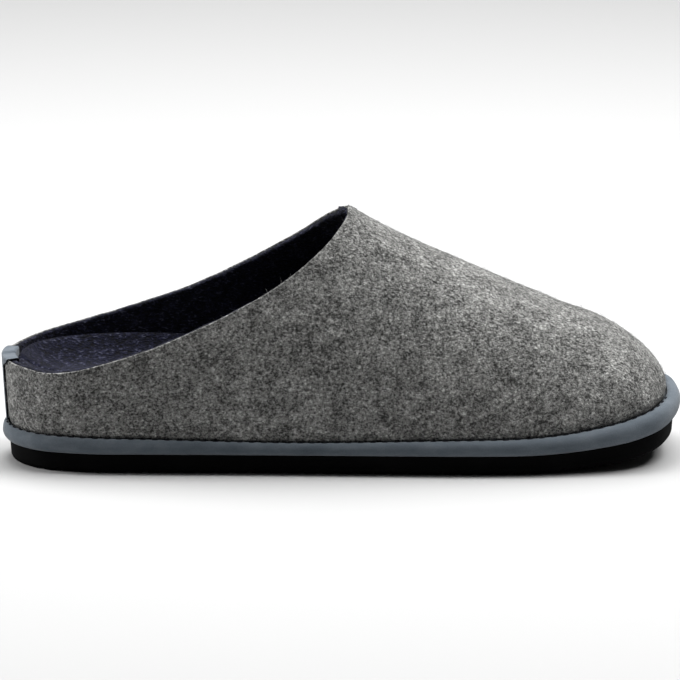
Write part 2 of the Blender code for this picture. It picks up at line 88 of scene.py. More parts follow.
# topline: way from heel to throat, rise of the outer side, rise of the inner side
toplineRows = np.array([
    (0.00, 0.000, 0.000), (0.06, -0.008, 0.030), (0.12, -0.024, 0.064), (0.20, -0.005, 0.106),
    (0.30, 0.060, 0.167), (0.42, 0.150, 0.257), (0.54, 0.270, 0.356), (0.66, 0.403, 0.488),
    (0.78, 0.560, 0.641), (0.88, 0.728, 0.786), (0.94, 0.850, 0.892), (1.00, 0.995, 0.995),
])
# ridge: -1 heel, 0 throat, 1 toe; height, reach to the inner side, fullness of the arch
crestRows = np.array([
    (-1.00, 1.640, 0.000, 0.92), (-0.50, 1.310, 0.010, 0.92), (0.00, 1.005, 0.025, 0.92),
    (0.10, 0.925, 0.030, 0.91), (0.21, 0.852, 0.035, 0.90), (0.40, 0.733, 0.045, 0.86),
    (0.60, 0.614, 0.050, 0.82), (0.80, 0.512, 0.048, 0.80), (1.00, 0.425, 0.040, 0.80),
])
# roll: along the sole, ledge, thickness
rollRows = np.array([
    (0.00, 0.45, 1.15), (0.22, 0.45, 0.99), (0.42, 0.48, 0.83),
    (0.62, 0.58, 0.97), (0.82, 0.74, 1.14), (1.00, 1.00, 1.56),
])
# footbed: along the sole, middle, outer rim, inner rim
footbedRows = np.array([
    (0.00, 1.00, 1.26, 1.26), (0.06, 0.99, 1.22, 1.38), (0.13, 0.97, 1.18, 1.44),
    (0.25, 0.93, 1.14, 1.47), (0.36, 0.80, 1.00, 1.36), (0.50, 0.57, 0.66, 0.85),
    (0.65, 0.41, 0.42, 0.46), (0.80, 0.33, 0.33, 0.34), (1.00, 0.29, 0.29, 0.29),
])


def smooth(knots, values, at):
    # cubic through the values at the knots, with slopes taken from their neighbours
    slopes = np.gradient(values, knots, axis=0)
    cell = np.clip(np.searchsorted(knots, at, side="right") - 1, 0, len(knots) - 2)
    width = knots[cell + 1] - knots[cell]
    part = (at - knots[cell]) / width
    if values.ndim > 1:
        part, width = part[..., None], width[..., None]
    rise = values[cell + 1] - values[cell]
    start = part * (part - 1) ** 2 * slopes[cell] * width
    end = part * part * (part - 1) * slopes[cell + 1] * width
    return values[cell] + (3 - 2 * part) * part * part * rise + start + end


def ease(value, low, high):
    part = np.clip((value - low) / (high - low), 0, 1)
    return part * part * (3 - 2 * part)


def unit(vectors):
    return vectors / np.linalg.norm(vectors, axis=1)[:, None]


def lengthsAlong(path):
    return np.concatenate([[0.0], np.cumsum(np.linalg.norm(np.diff(path, axis=0), axis=1))])


def pointsAlong(path, shares):
    # points of the path at shares of its length
    lengths = lengthsAlong(path)
    return np.column_stack([np.interp(shares * lengths[-1], lengths, part) for part in path.T])


def evenLoop(loop, count):
    # the same closed outline at even steps along it
    return pointsAlong(np.vstack([loop, loop[:1]]), np.arange(count) / count)


def soleRise(x):
    # flat to the rocker's start, then up to the toe by a power
    part = np.clip((x - last["rockerStart"]) / (last["length"] - last["rockerStart"]), 0, 1)
    return last["toeSpring"] * part ** last["rockerPower"]


def rollShare(place, x):
    return smooth(rollRows[:, 0] * last["length"], rollRows[:, place], x)


def platformLevel(x, share):
    # height at a share of the platform's thickness
    thickness = last["platform"] * rollShare(2, x)
    return last["outsole"] + last["seatGap"] + thickness * share + soleRise(x)


def upperFoot(x):
    return platformLevel(x, 1.0) + last["seatGap"]


def platformOutline(perRow=60):
    # closed cubic through the outline's rows: out along the outer side, back along the inner
    along = outlineRows[:, 0] * last["length"]
    outer = np.column_stack([along, -outlineRows[:, 1] * last["ballWidth"]])
    inner = np.column_stack([along, outlineRows[:, 2] * last["ballWidth"]])[::-1]
    tip = np.array([[last["length"], last["tipAcross"] * last["ballWidth"]]])
    points = np.vstack([np.zeros((1, 2)), outer, tip, inner])
    overlap = 3  # points repeated past each end, so that the slopes agree there
    around = np.vstack([points[-overlap:], points, points[: overlap + 1]])
    knots = lengthsAlong(around)
    places = np.arange(len(points) * perRow) / perRow
    at = np.interp(places, np.arange(len(points) + 1), knots[overlap: overlap + len(points) + 1])
    return smooth(knots, around, at)


def insetLoop(loop, distance):
    # the outline moved inwards along its own normals
    along = unit(np.roll(loop, -1, axis=0) - np.roll(loop, 1, axis=0))
    inwards = np.column_stack([-along[:, 1], along[:, 0]])
    return loop + inwards * np.reshape(distance, (-1, 1))


class Sides:
    # the outer (-1) and the inner (1) side of a closed outline, read at stations along it

    def __init__(self, loop):
        back, front = np.argmin(loop[:, 0]), np.argmax(loop[:, 0])
        turned = np.roll(loop, -back, axis=0)
        split = (front - back) % len(loop)
        self.points = {-1: turned[: split + 1], 1: np.vstack([turned[split:], turned[:1]])[::-1]}
        self.back, self.front = loop[back], loop[front]

    def y(self, side, x):
        points = self.points[side]
        return np.interp(x, np.maximum.accumulate(points[:, 0]), points[:, 1])

    def nearHeel(self, side, reach):
        # X where the heel's curve is this far from its middle
        points = self.points[side]
        across = np.abs(points[:, 1] - self.back[1])
        widest = np.argmax(across)
        return np.interp(reach, across[:widest], points[:widest, 0])

    def outwards(self, side, x):
        step = 0.0006  # to each side of x, for the slope
        low, high = np.maximum(x - step, self.back[0]), np.minimum(x + step, self.front[0])
        run, rise = high - low, self.y(side, high) - self.y(side, low)
        direction = np.column_stack([-side * rise, side * run])
        direction[x <= self.back[0]] = (-1.0, 0.0)
        return unit(direction)


platformLoop = platformOutline()
ledge = last["ledge"] * rollShare(1, platformLoop[:, 0])
feltLoop = insetLoop(platformLoop, ledge)
feltFoot = Sides(feltLoop)
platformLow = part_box("platform")[0]
rowShift = np.array([*(np.array(platformLow[:2]) - platformLoop.min(axis=0)), 0.0])
print("shift to the row frame:", rowShift)


def crest(place, x):
    # a value of the ridge's table, read along the two parts that meet at the throat
    rear = x / last["throat"] - 1
    front = (x - last["throat"]) / (last["length"] - last["throat"])
    return smooth(crestRows[:, 0], crestRows[:, place], np.where(x < last["throat"], rear, front))


def openRidge(x):
    # the ridge's height above the wall's foot, as if there were no nose
    return crest(1, x) * last["instepHeight"] - upperFoot(x)


def ridgeHeight(x):
    # the ridge's line times a superellipse over the nose
    nose = np.clip((x - feltFoot.front[0] + last["toeNose"]) / last["toeNose"], 0, 1)
    return openRidge(x) * (1 - nose ** last["noseFullness"]) ** (1 / last["noseFullness"])


def ridgeAcross(x):
    # the ridge seen from above, eased to the tip in front and to the heel's middle behind
    front, back = feltFoot.front, feltFoot.back
    line = crest(2, x) * last["ballWidth"]
    line = line + (front[1] - line) * ease(x, front[0] - last["toeNose"], front[0])
    return back[1] + (line - back[1]) * ease(x, back[0], last["toeNose"])


def toplineHeight(side, x):
    way = np.clip(x / last["throat"], 0, 1)
    share = smooth(toplineRows[:, 0], toplineRows[:, 1 if side < 0 else 2], way)
    return last["heelHeight"] + share * (last["instepHeight"] - last["heelHeight"]) - upperFoot(x)


def upright(x):
    # 1 where the wall stands up from its foot, 0 where it is an arch
    return 1 - ease(x, last["uprightStart"] * last["length"], last["uprightEnd"] * last["length"])


def flare(x, height):
    # lean outwards: a power of the height, fading out along the heel
    share = np.maximum(height, 0) / (last["heelHeight"] - upperFoot(0.0))
    fading = 1 - ease(x, 0.0, last["flareEnd"] * last["length"])
    return last["heelFlare"] * share ** last["flarePower"] * fading


def feltWall(side, x, rows, throatAt):
    # Stations by rows. Each station is a superelliptic arch from the wall's foot to the ridge,
    # ended at the topline behind the throat, and mixed with an upright flared wall at the heel.
    footY = feltFoot.y(side, x)[:, None]
    ridgeY = ridgeAcross(x)[:, None]
    ridge = ridgeHeight(x)
    share = np.ones(len(x))
    share[:throatAt] = toplineHeight(side, x[:throatAt]) / ridge[:throatAt]
    angle = np.arcsin(share)[:, None] * np.linspace(0, 1, rows + 1)
    height = ridge[:, None] * np.sin(angle)
    spread = np.maximum(np.cos(angle), 0) ** crest(3, x)[:, None]
    archY = ridgeY + (footY - ridgeY) * spread
    outwards = feltFoot.outwards(side, x)
    lean = flare(x[:, None], height)
    straight = upright(x)[:, None]
    grid = np.empty(height.shape + (3,))
    grid[..., 0] = x[:, None] + lean * outwards[:, :1]
    grid[..., 1] = (footY + lean * outwards[:, 1:]) * straight + archY * (1 - straight)
    grid[..., 2] = height + upperFoot(x)[:, None]
    return grid


# Mesh helpers: grids of numbers become quads, and quads with a doubled corner triangles
def gridQuads(numbers):
    corners = (numbers[:-1, :-1], numbers[1:, :-1], numbers[1:, 1:], numbers[:-1, 1:])
    return np.stack([corner.ravel() for corner in corners], axis=1)


def ringQuads(numbers):
    # the same with every row closed on itself
    return gridQuads(np.column_stack([numbers, numbers[:, :1]]))


def repeatedQuads(quads, count, size):
    # one small shape's quads for many copies of it
    return (quads[None] + (np.arange(count) * size)[:, None, None]).reshape(-1, 4)


def facesOf(quads):
    doubled = np.zeros(len(quads), bool)
    for one, other in ((0, 1), (1, 2), (2, 3), (3, 0), (0, 2), (1, 3)):
        doubled |= quads[:, one] == quads[:, other]
    faces = quads[~doubled].tolist()
    for quad in quads[doubled].tolist():
        face = list(dict.fromkeys(quad))
        if len(face) == 3:
            faces.append(face)
    return faces


def stackedRings(rings):
    # rings of equal size joined side to side, the first and the last closed by a ladder of quads
    size = len(rings[0])
    numbers = np.arange(len(rings) * size).reshape(len(rings), size)
    quads = [ringQuads(numbers)]
    steps = np.arange(size // 2)
    for first in (0, int(numbers[-1, 0])):
        ahead = first + steps
        back = first + (size - steps) % size
        quads.append(np.column_stack([ahead, ahead + 1, first + (size - steps - 1) % size, back]))
    return np.vstack(rings), facesOf(np.vstack(quads))


def pointNormals(points, quads):
    # sum of the normals of the quads round each point
    across = points[quads[:, 2]] - points[quads[:, 0]]
    normal = np.cross(across, points[quads[:, 3]] - points[quads[:, 1]])
    total = np.zeros_like(points)
    for corner in range(4):
        np.add.at(total, quads[:, corner], normal)
    return total / np.maximum(np.linalg.norm(total, axis=1), 1e-12)[:, None]


def addPiece(name, points, faces, material, replaced=(), sharp=None):
    mesh = bpy.data.meshes.new(name)
    mesh.from_pydata((np.asarray(points) + rowShift).tolist(), [], faces)
    shape = bmesh.new()
    shape.from_mesh(mesh)
    bmesh.ops.recalc_face_normals(shape, faces=shape.faces[:])
    shape.to_mesh(mesh)
    shape.free()
    mesh.shade_smooth()
    if sharp is not None:
        mesh.set_sharp_from_angle(angle=math.radians(sharp))
    piece = bpy.data.objects.new(name, mesh)
    bpy.context.scene.collection.objects.link(piece)
    mesh.materials.append(material)
    if replaced:
        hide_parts(*replaced)
    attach(piece, "root")
    print("made", name, len(faces), "faces")
    return piece


# Shader maths: a Value is one socket, and an expression on Values adds Math nodes
class Value:
    def __init__(self, finish, socket):
        self.finish, self.socket = finish, socket

    def math(self, operation, *others):
        return self.finish.math(operation, self, *others)

    def __add__(self, other):
        return self.math("ADD", other)

    def __sub__(self, other):
        return self.math("SUBTRACT", other)

    def __mul__(self, other):
        return self.math("MULTIPLY", other)

    def __rsub__(self, other):
        return self.finish.math("SUBTRACT", other, self)

    __radd__, __rmul__ = __add__, __mul__

    def between(self, low, high):
        # 0 at the low value and 1 at the high one, smoothly
        return self.finish.node("ShaderNodeMapRange", {"interpolation_type": "SMOOTHSTEP"},
                                {"Value": self, "From Min": low, "From Max": high})


class Finish:
    # one material, with its Principled shader and the nodes that feed it

    def __init__(self, name, **plain):
        self.material = bpy.data.materials.new(name)
        self.material.use_nodes = True
        self.tree = self.material.node_tree
        self.shader = self.tree.nodes["Principled BSDF"]
        for socket, value in plain.items():
            self.shader.inputs[socket.replace("_", " ")].default_value = value

    def node(self, kind, settings=None, inputs=None, output=0):
        made = self.tree.nodes.new(kind)
        for key, value in (settings or {}).items():
            if key == "stops":
                ramp = made.color_ramp
                while len(ramp.elements) < len(value):
                    ramp.elements.new(0.5)
                for element, (position, colour) in zip(ramp.elements, value):
                    element.position = position
                    element.color = (*colour, 1.0)
            else:
                setattr(made, key, value)
        for key, value in (inputs or {}).items():
            self.feed(made.inputs[key], value)
        return Value(self, made.outputs[output])

    def feed(self, socket, value):
        if isinstance(value, Value):
            self.tree.links.new(value.socket, socket)
        elif socket.type == "RGBA" and len(value) == 3:
            socket.default_value = (*value, 1.0)
        else:
            socket.default_value = value

    def math(self, operation, *values):
        return self.node("ShaderNodeMath", {"operation": operation}, dict(enumerate(values)))

    def mixed(self, share, one, other):
        # sockets 6 and 7 in and 2 out are the Mix node's colours
        return self.node("ShaderNodeMix", {"data_type": "RGBA", "blend_type": "MIX"},
                         {0: share, 6: one, 7: other}, output=2)

    def ramp(self, share, stops):
        return self.node("ShaderNodeValToRGB", {"stops": stops}, {"Fac": share})

    def coordinates(self, stretch=(1.0, 1.0, 1.0), turn=(0.0, 0.0, 0.0)):
        place = self.node("ShaderNodeTexCoord", output="Object")
        return self.node("ShaderNodeMapping", {"vector_type": "POINT"},
                         {"Vector": place, "Scale": stretch, "Rotation": turn})

    def noise(self, scale, detail, roughness, distortion=0.0, **mapping):
        return self.node("ShaderNodeTexNoise", None,
                         {"Vector": self.coordinates(**mapping), "Scale": scale, "Detail": detail,
                          "Roughness": roughness, "Distortion": distortion})

    def bump(self, height, distance, strength):
        inputs = {"Height": height, "Distance": distance, "Strength": strength}
        self.feed(self.shader.inputs["Normal"], self.node("ShaderNodeBump", None, inputs))

    def coloured(self, colour):
        self.feed(self.shader.inputs["Base Color"], colour)
        return self.material


def weighed(noises, weights, base):
    # each noise's difference from its middle, times its weight, on a base
    parts = [(noise - 0.5) * weight for noise, weight in zip(noises, weights)]
    return sum(parts[1:], parts[0]) + base


def feltFibres(finish, scale, length):
    # three sets of short fibres, each a noise stretched along its own direction
    turns = ((0.3, 0.5, 0.2), (1.1, -0.6, 1.3), (-0.7, 0.9, 2.4))
    sets = [finish.noise(scale, 3.0, 0.6, 0.6, stretch=(1.0 / length, 1.0, 1.0), turn=turn) for turn in turns]
    return sets[0].math("MAXIMUM", sets[1]), sets[1].math("MINIMUM", sets[2]), sets[2]


# Finishes. A noise is given by scale, detail and roughness, a bump by distance and strength.
# Weights follow the order of the noises; in the felts those of the pale, dark and third fibres come first.
greyFelt = {
    "fibres": 1350.0,
    "fibreLength": 1.6,
    "noises": (
        (2300.0, 2.0, 0.6),  # specks
        (950.0, 2.0, 0.6),  # flecks
        (420.0, 2.0, 0.6),  # blotches
        (110.0, 1.0, 0.5),  # clouds
    ),
    "weights": (0.9, 0.9, 0.4, 0.7, 1.2, 0.8, 0.45),
    "base": 0.47,
    "tones": ((0.0, 0.017), (0.28, 0.072), (0.48, 0.174), (0.70, 0.280), (1.0, 0.56)),
    "tint": (1.0, 1.0, 0.965),
    "bump": (0.0006, 0.9),
    "sheen": 0.04,
    "specular": 0.1,
}
navyFelt = {
    "fibres": 1200.0,
    "fibreLength": 2.2,
    "noises": ((300.0, 2.0, 0.6),),
    "weights": (2.2, 1.8, 0.8, 1.2),
    "base": 0.42,
    "tones": ((0.0, (0.0016, 0.0018, 0.0045)), (0.45, (0.0085, 0.0098, 0.0270)),
              (0.75, (0.0230, 0.0250, 0.0640)), (1.0, (0.1200, 0.1250, 0.1850))),
    # the lining's tint sits below the footbed's: painted shade, as the lining lies in the shoe's shade
    "liningShadedTint": 0.45,
    "footbedTint": 0.55,
    "bump": (0.0006, 0.9),
    "sheen": 0.05,
    "specular": 0.05,
}


def feltFinish(name, look, tint):
    # wool carded together: fibres and coarser noises add up to a share that picks the tone
    finish = Finish(name, Roughness=1.0, Metallic=0.0, Sheen_Weight=look["sheen"], Sheen_Roughness=0.6,
                    Specular_IOR_Level=look["specular"])
    noises = [*feltFibres(finish, look["fibres"], look["fibreLength"])]
    noises += [finish.noise(*noise) for noise in look["noises"]]
    share = weighed(noises, look["weights"], look["base"])
    finish.bump(share, *look["bump"])
    stops = [(place, tuple(np.multiply(tint, tone).tolist())) for place, tone in look["tones"]]
    return finish.coloured(finish.ramp(share, stops))


suede = {
    "grain": (2400.0, 3.0, 0.6),
    "nap": (160.0, 2.0, 0.55),
    "napStretch": (0.6, 1.0, 1.6),
    "patches": (45.0, 2.0, 0.5),
    "weights": (0.7, 0.8, 0.5),
    "napBump": 0.5,  # next to the grain's
    "base": 0.5,
    "tones": ((0.0, (0.054, 0.066, 0.080)), (0.5, (0.090, 0.107, 0.125)), (1.0, (0.138, 0.158, 0.180))),
    "bump": (0.00025, 0.6),
    "sheen": 0.15,
}


def suedeFinish():
    # short nap: fine grain, with faint patches where it lies down
    look = suede
    finish = Finish("suede", Roughness=0.95, Metallic=0.0, Sheen_Weight=look["sheen"], Sheen_Roughness=0.5,
                    Specular_IOR_Level=0.1)
    grain = finish.noise(*look["grain"])
    nap = finish.noise(*look["nap"], stretch=look["napStretch"])
    share = weighed([grain, nap, finish.noise(*look["patches"])], look["weights"], look["base"])
    finish.bump(grain + nap * look["napBump"], *look["bump"])
    return finish.coloured(finish.ramp(share, look["tones"]))


rubber = {
    "grain": (1500.0, 2.0, 0.5),
    "dust": (60.0, 3.0, 0.6),
    "dustRange": (0.45, 0.8),
    "black": (0.0016, 0.0016, 0.0018),
    "dusty": (0.0034, 0.0034, 0.0036),
    "bump": (0.0001, 0.4),
}


def rubberFinish():
    # matt black, a little dusty
    look = rubber
    finish = Finish("rubber", Roughness=0.8, Metallic=0.0, Specular_IOR_Level=0.04)
    finish.bump(finish.noise(*look["grain"]), *look["bump"])
    dust = finish.noise(*look["dust"])
    return finish.coloured(finish.mixed(dust.between(*look["dustRange"]), look["black"], look["dusty"]))


thread = {
    "dark": (0.003, 0.0033, 0.0046),
    "pale": 2.2,  # times the dark tone
    "twist": 900.0,
    "bump": (0.0001, 0.5),
}


def threadFinish():
    # dark waxed thread, twisted
    look = thread
    finish = Finish("thread", Roughness=0.9, Metallic=0.0, Specular_IOR_Level=0.1)
    inputs = {"Vector": finish.coordinates(), "Scale": look["twist"], "Distortion": 1.0, "Detail": 1.0}
    twist = finish.node("ShaderNodeTexWave", {"wave_type": "BANDS", "bands_direction": "DIAGONAL"}, inputs)
    finish.bump(twist, *look["bump"])
    pale = tuple(look["pale"] * part for part in look["dark"])
    return finish.coloured(finish.mixed(twist, look["dark"], pale))


feltMaterial = feltFinish("greyFelt", greyFelt, greyFelt["tint"])
# the same navy felt for the lining, made darker by painted shade
shadedLiningMaterial = feltFinish("navyLiningPaintedShade", navyFelt, navyFelt["liningShadedTint"])
footbedMaterial = feltFinish("navyFootbed", navyFelt, navyFelt["footbedTint"])
suedeMaterial = suedeFinish()
threadMaterial = threadFinish()
rubberMaterial = rubberFinish()
print("finishes made")

# Upper: a grey outer felt and a navy lining felt, bonded, each cut square and softly rounded
upperLook = {
    "rearStations": 130,
    "frontStations": 140,
    "rows": 64,
    "greyThickness": 0.0011,
    "bond": 0.0001,  # between the two felts
    "edgeRadius": 0.0005,
    "liningRadius": 0.0010,
    "edgeSteps": 5,
    "edgePull": 8,  # power by which the skin draws back towards the cut edge
    "waves": (  # depth, radians per metre along X, Y and Z, phase
        (0.00010, 310.0, 190.0, 260.0, 0.4),
        (0.00007, 520.0, -330.0, 480.0, 2.1),
        (0.00005, -760.0, 640.0, 700.0, 4.0),
    ),
    "waveStart": 0.012,
    "footTuck": 0.0007,
    "footTuckHeight": 0.0035,
    "footDrop": 0.0007,
}


def upperSkin():
    # both sides of the wall as one set of points, joined at the heel, along the ridge and at the tip
    look = upperLook
    turn = np.linspace(0, math.pi, look["rearStations"] + 1)
    rear = feltFoot.back[0] + (last["throat"] - feltFoot.back[0]) * (1 - np.cos(turn)) / 2
    sines = np.sin(np.linspace(0, math.pi / 2, look["frontStations"] + 1))
    front = last["throat"] + (feltFoot.front[0] - last["throat"]) * sines
    x = np.concatenate([rear, front[1:]])
    throatAt = look["rearStations"]
    walls = np.stack([feltWall(side, x, look["rows"], throatAt) for side in (-1, 1)])
    numbers = np.arange(walls[..., 0].size).reshape(walls.shape[:3])
    numbers[1, 0] = numbers[0, 0]
    numbers[1, throatAt:, -1] = numbers[0, throatAt:, -1]
    numbers[:, -1] = numbers[0, -1, -1]
    used, numbers = np.unique(numbers, return_inverse=True)
    numbers = numbers.reshape(walls.shape[:3])
    points = walls.reshape(-1, 3)[used]
    quads = np.vstack([gridQuads(numbers[0]), gridQuads(numbers[1])[:, ::-1]])
    collar = np.concatenate([numbers[0, : throatAt + 1, -1], numbers[1, throatAt - 1:0:-1, -1]])
    foot = np.concatenate([numbers[0, :, 0], numbers[1, -2:0:-1, 0]])
    return points, quads, collar, foot, numbers


skinPoints, skinQuads, collarLoop, footLoop, skinNumbers = upperSkin()
skinNormals = pointNormals(skinPoints, skinQuads)
outerPoint = skinNumbers[0, 10, 5]  # any point of the outer side, whose normal has to point to -Y
if skinNormals[outerPoint, 1] > 0:
    skinQuads, skinNormals = skinQuads[:, ::-1], -skinNormals

# felt is never quite even: low waves along the skin's own normals, none at the heel strip
for depth, alongX, alongY, alongZ, phase in upperLook["waves"]:
    angle = skinPoints @ np.array([alongX, alongY, alongZ]) + phase
    strength = depth * ease(skinPoints[:, 0], upperLook["waveStart"], 3 * upperLook["waveStart"])
    skinPoints = skinPoints + skinNormals * (strength * np.sin(angle))[:, None]
skinNormals = pointNormals(skinPoints, skinQuads)
skinNormals[footLoop, 2] = 0
skinNormals[footLoop] = unit(skinNormals[footLoop])

# round the collar: the way out of the felt past its cut edge, across the curve and the skin
collarNormals = skinNormals[collarLoop]
collarAlong = unit(np.roll(skinPoints[collarLoop], -1, axis=0) - np.roll(skinPoints[collarLoop], 1, axis=0))
collarOut = unit(np.cross(collarAlong, collarNormals))
if collarOut[len(collarOut) // 4, 2] < 0:
    collarOut = -collarOut
print("upper skin:", len(skinPoints), "points")


def feltLayer(name, material, outside, inside, radius, replaced=()):
    # a closed sheet between two depths below the skin, its collar edge turned by quarter circles
    look = upperLook
    stations = look["rearStations"] + 1
    outward = np.zeros((2, stations, 3))
    outward[0] = collarOut[:stations]
    outward[1, [0, -1]] = collarOut[[0, stations - 1]]
    outward[1, 1:-1] = collarOut[stations:][::-1]
    weight = np.linspace(0, 1, look["rows"] + 1)[None, :, None] ** look["edgePull"]
    push = np.zeros((len(skinPoints), 3))
    for side in (0, 1):
        push[skinNumbers[side, :stations]] = outward[side][:, None] * weight
    push *= -radius
    tuckTop = upperFoot(skinPoints[:, 0]) + look["footTuckHeight"]
    low = np.clip((tuckTop - skinPoints[:, 2]) / look["footTuckHeight"], 0, 1) ** 2

    def sheet(depth):
        # the skin at a depth, drawn in and let down at its foot
        moved = skinPoints + push - skinNormals * (depth + look["footTuck"] * low)[:, None]
        moved[:, 2] = np.maximum(moved[:, 2], upperFoot(moved[:, 0])) - look["footDrop"] * low ** 2
        return moved

    points = [sheet(outside), sheet(inside)]
    base = skinPoints[collarLoop] - collarOut * radius
    turns = np.linspace(0, math.pi / 2, look["edgeSteps"] + 1)[1:]
    corners = [(turn, outside, radius) for turn in turns] + [(turn, inside, -radius) for turn in turns[::-1]]
    for turn, start, deeper in corners:
        depth = start + deeper * (1 - math.cos(turn))
        points.append(base + collarOut * radius * math.sin(turn) - collarNormals * depth)
    count = len(skinPoints)
    between = 2 * count + np.arange(len(corners) * len(collarLoop)).reshape(len(corners), -1)
    edge = ringQuads(np.vstack([collarLoop, between, collarLoop + count]))
    footEdge = ringQuads(np.array([footLoop, footLoop + count]))
    quads = np.vstack([skinQuads, skinQuads[:, ::-1] + count, edge, footEdge])
    addPiece(name, np.vstack(points), facesOf(quads), material, replaced)


liningDepth = upperLook["greyThickness"] + upperLook["bond"]
feltLayer("upperFelt", feltMaterial, 0.0, upperLook["greyThickness"], upperLook["edgeRadius"],
          ("upper",))
feltLayer("upperLining", shadedLiningMaterial, liningDepth, last["felt"], upperLook["liningRadius"])

# Heel strip: suede up the back of the heel, wider where it folds over the topline
stripLook = {
    "width": 0.020,  # at the topline
    "footWidth": 0.006,
    "spread": 0.004,  # below the topline, where it starts to widen
    "thickness": 0.0008,
    "thinning": 0.45,  # share taken off at its side edges
    "thinFrom": 0.8,
    "fold": 0.007,
    "relief": 0.010,  # past its width, where the footbed makes room for it
    "columns": 24,
    "rows": 30,
    "corner": 10,
    "edgeCord": 0.00034,
}


def stripSteps():
    # the path step by step: climb, turn round the felt's cut edge, inner corner or not, way down inside
    look = stripLook
    climbs = np.sin(np.linspace(0, math.pi / 2, look["rows"] + 1))
    turns = np.linspace(0, math.pi / 2, look["corner"])
    falls = np.linspace(0, look["fold"], look["corner"])[1:]
    climb = np.concatenate([climbs, np.ones(3 * look["corner"] - 2)])
    turn = np.concatenate([0 * climbs, turns[1:], math.pi / 2 + turns, math.pi + 0 * falls])
    inside = np.where(np.arange(len(climb)) < look["rows"] + look["corner"], 0.0, 1.0)
    fall = np.concatenate([np.zeros(len(climb) - len(falls)), falls])
    return climb, turn, inside, fall


def stripPath(side, x, steps):
    # in the wall's own plane: up the outer face, round the cut edge, down the inner face
    climb, turn, inside, fall = steps
    gap = last["seatGap"]
    height = gap + (toplineHeight(side, x) - gap) * climb - fall
    tilt = np.arctan((flare(x, height + gap) - flare(x, height - gap)) / (2 * gap))
    across = inside * last["felt"]
    return flare(x, height) - across * np.cos(tilt), height + across * np.sin(tilt), turn - tilt


def addStrip():
    # Columns by steps, twice: the strip's path at the seat gap off the felt, and again at its own
    # thickness further out, thinned towards its side edges. Gives the middles of the two side edges.
    look = stripLook
    steps = stripSteps()
    below = (1 - steps[0]) * (last["heelHeight"] - upperFoot(0.0))
    widening = (look["width"] - look["footWidth"]) * (1 - ease(below, 0, look["spread"]))
    halfWidth = (look["footWidth"] + widening) / 2
    skins = [[], []]
    for share in np.linspace(-1, 1, look["columns"] + 1):
        side = -1 if share < 0 else 1
        x = feltFoot.nearHeel(side, abs(share) * halfWidth)
        foot = np.column_stack([x, feltFoot.y(side, x)])
        outwards = feltFoot.outwards(side, x)
        out, up, direction = stripPath(side, x, steps)
        thinned = 1 - look["thinning"] * ease(abs(share), look["thinFrom"], 1.0)
        for skin, offset in zip(skins, (last["seatGap"], last["seatGap"] + look["thickness"] * thinned)):
            level = foot + (out + offset * np.cos(direction))[:, None] * outwards
            skin.append(np.column_stack([level, up + offset * np.sin(direction) + upperFoot(x)]))
    grids = np.array(skins)
    numbers = np.arange(grids[..., 0].size).reshape(grids.shape[:3])
    near, far = numbers
    quads = [gridQuads(near), gridQuads(far)]
    for edge in (np.s_[0, :], np.s_[-1, :], np.s_[:, 0], np.s_[:, -1]):
        quads.append(gridQuads(np.column_stack([near[edge], far[edge]])))
    addPiece("heelStripSuede", grids.reshape(-1, 3), facesOf(np.vstack(quads)), suedeMaterial,
             ("heel_strip",), sharp=60)
    return [grids[:, column].mean(axis=0) for column in (0, -1)]


def tube(path, radius, around=8, aside=(0.13, 0.97, 0.2)):
    # a round cord along an open path that never runs aside, closed at both ends
    along = unit(np.gradient(path, axis=0))
    sideways = unit(np.cross(along, aside))
    other = np.cross(along, sideways)
    turn = (np.arange(around) * 2 * math.pi / around)[:, None]
    points = path[:, None] + radius * (np.cos(turn) * sideways[:, None] + np.sin(turn) * other[:, None])
    numbers = np.arange(len(path) * around).reshape(len(path), around)
    points = np.vstack([points.reshape(-1, 3), path[:1], path[-1:]])
    quads = [ringQuads(numbers)]
    for ring, middle in ((numbers[0], len(points) - 2), (numbers[-1], len(points) - 1)):
        middles = np.full(around, middle)
        quads.append(np.column_stack([ring, np.roll(ring, -1), middles, middles]))
    return points, np.vstack(quads)


for name, edge in zip(("stripEdgeOuter", "stripEdgeInner"), addStrip()):
    points, quads = tube(edge, stripLook["edgeCord"])
    addPiece(name, points, facesOf(quads), threadMaterial)

# Footbed: cupped top over a side that follows the lining
footbedLook = {
    "stations": 150,
    "sideShares": (0.0, 0.3, 0.6, 0.8),
    "rimRadius": 0.0016,
    "rimSteps": 5,
    "cupSteps": 14,
    "uneven": 0.00025,
    "waves": ((290.0, 1.3), (171.0, 5.0)),  # radians per metre, shifted by side and by step
    "evenRim": 0.4,  # way in over which the waves grow
}


def wallDraw(x, halfWidth, height):
    # how far the felt's wall is in from its foot at a height
    share = np.clip(height / openRidge(x), 0, 1)
    arch = 1 - (1 - share ** 2) ** (crest(3, x) / 2)
    return halfWidth * arch * (1 - upright(x)) - flare(x, height)


def footbedThickness(place, x):
    return smooth(footbedRows[:, 0] * last["length"], footbedRows[:, place] * last["footbed"], x)


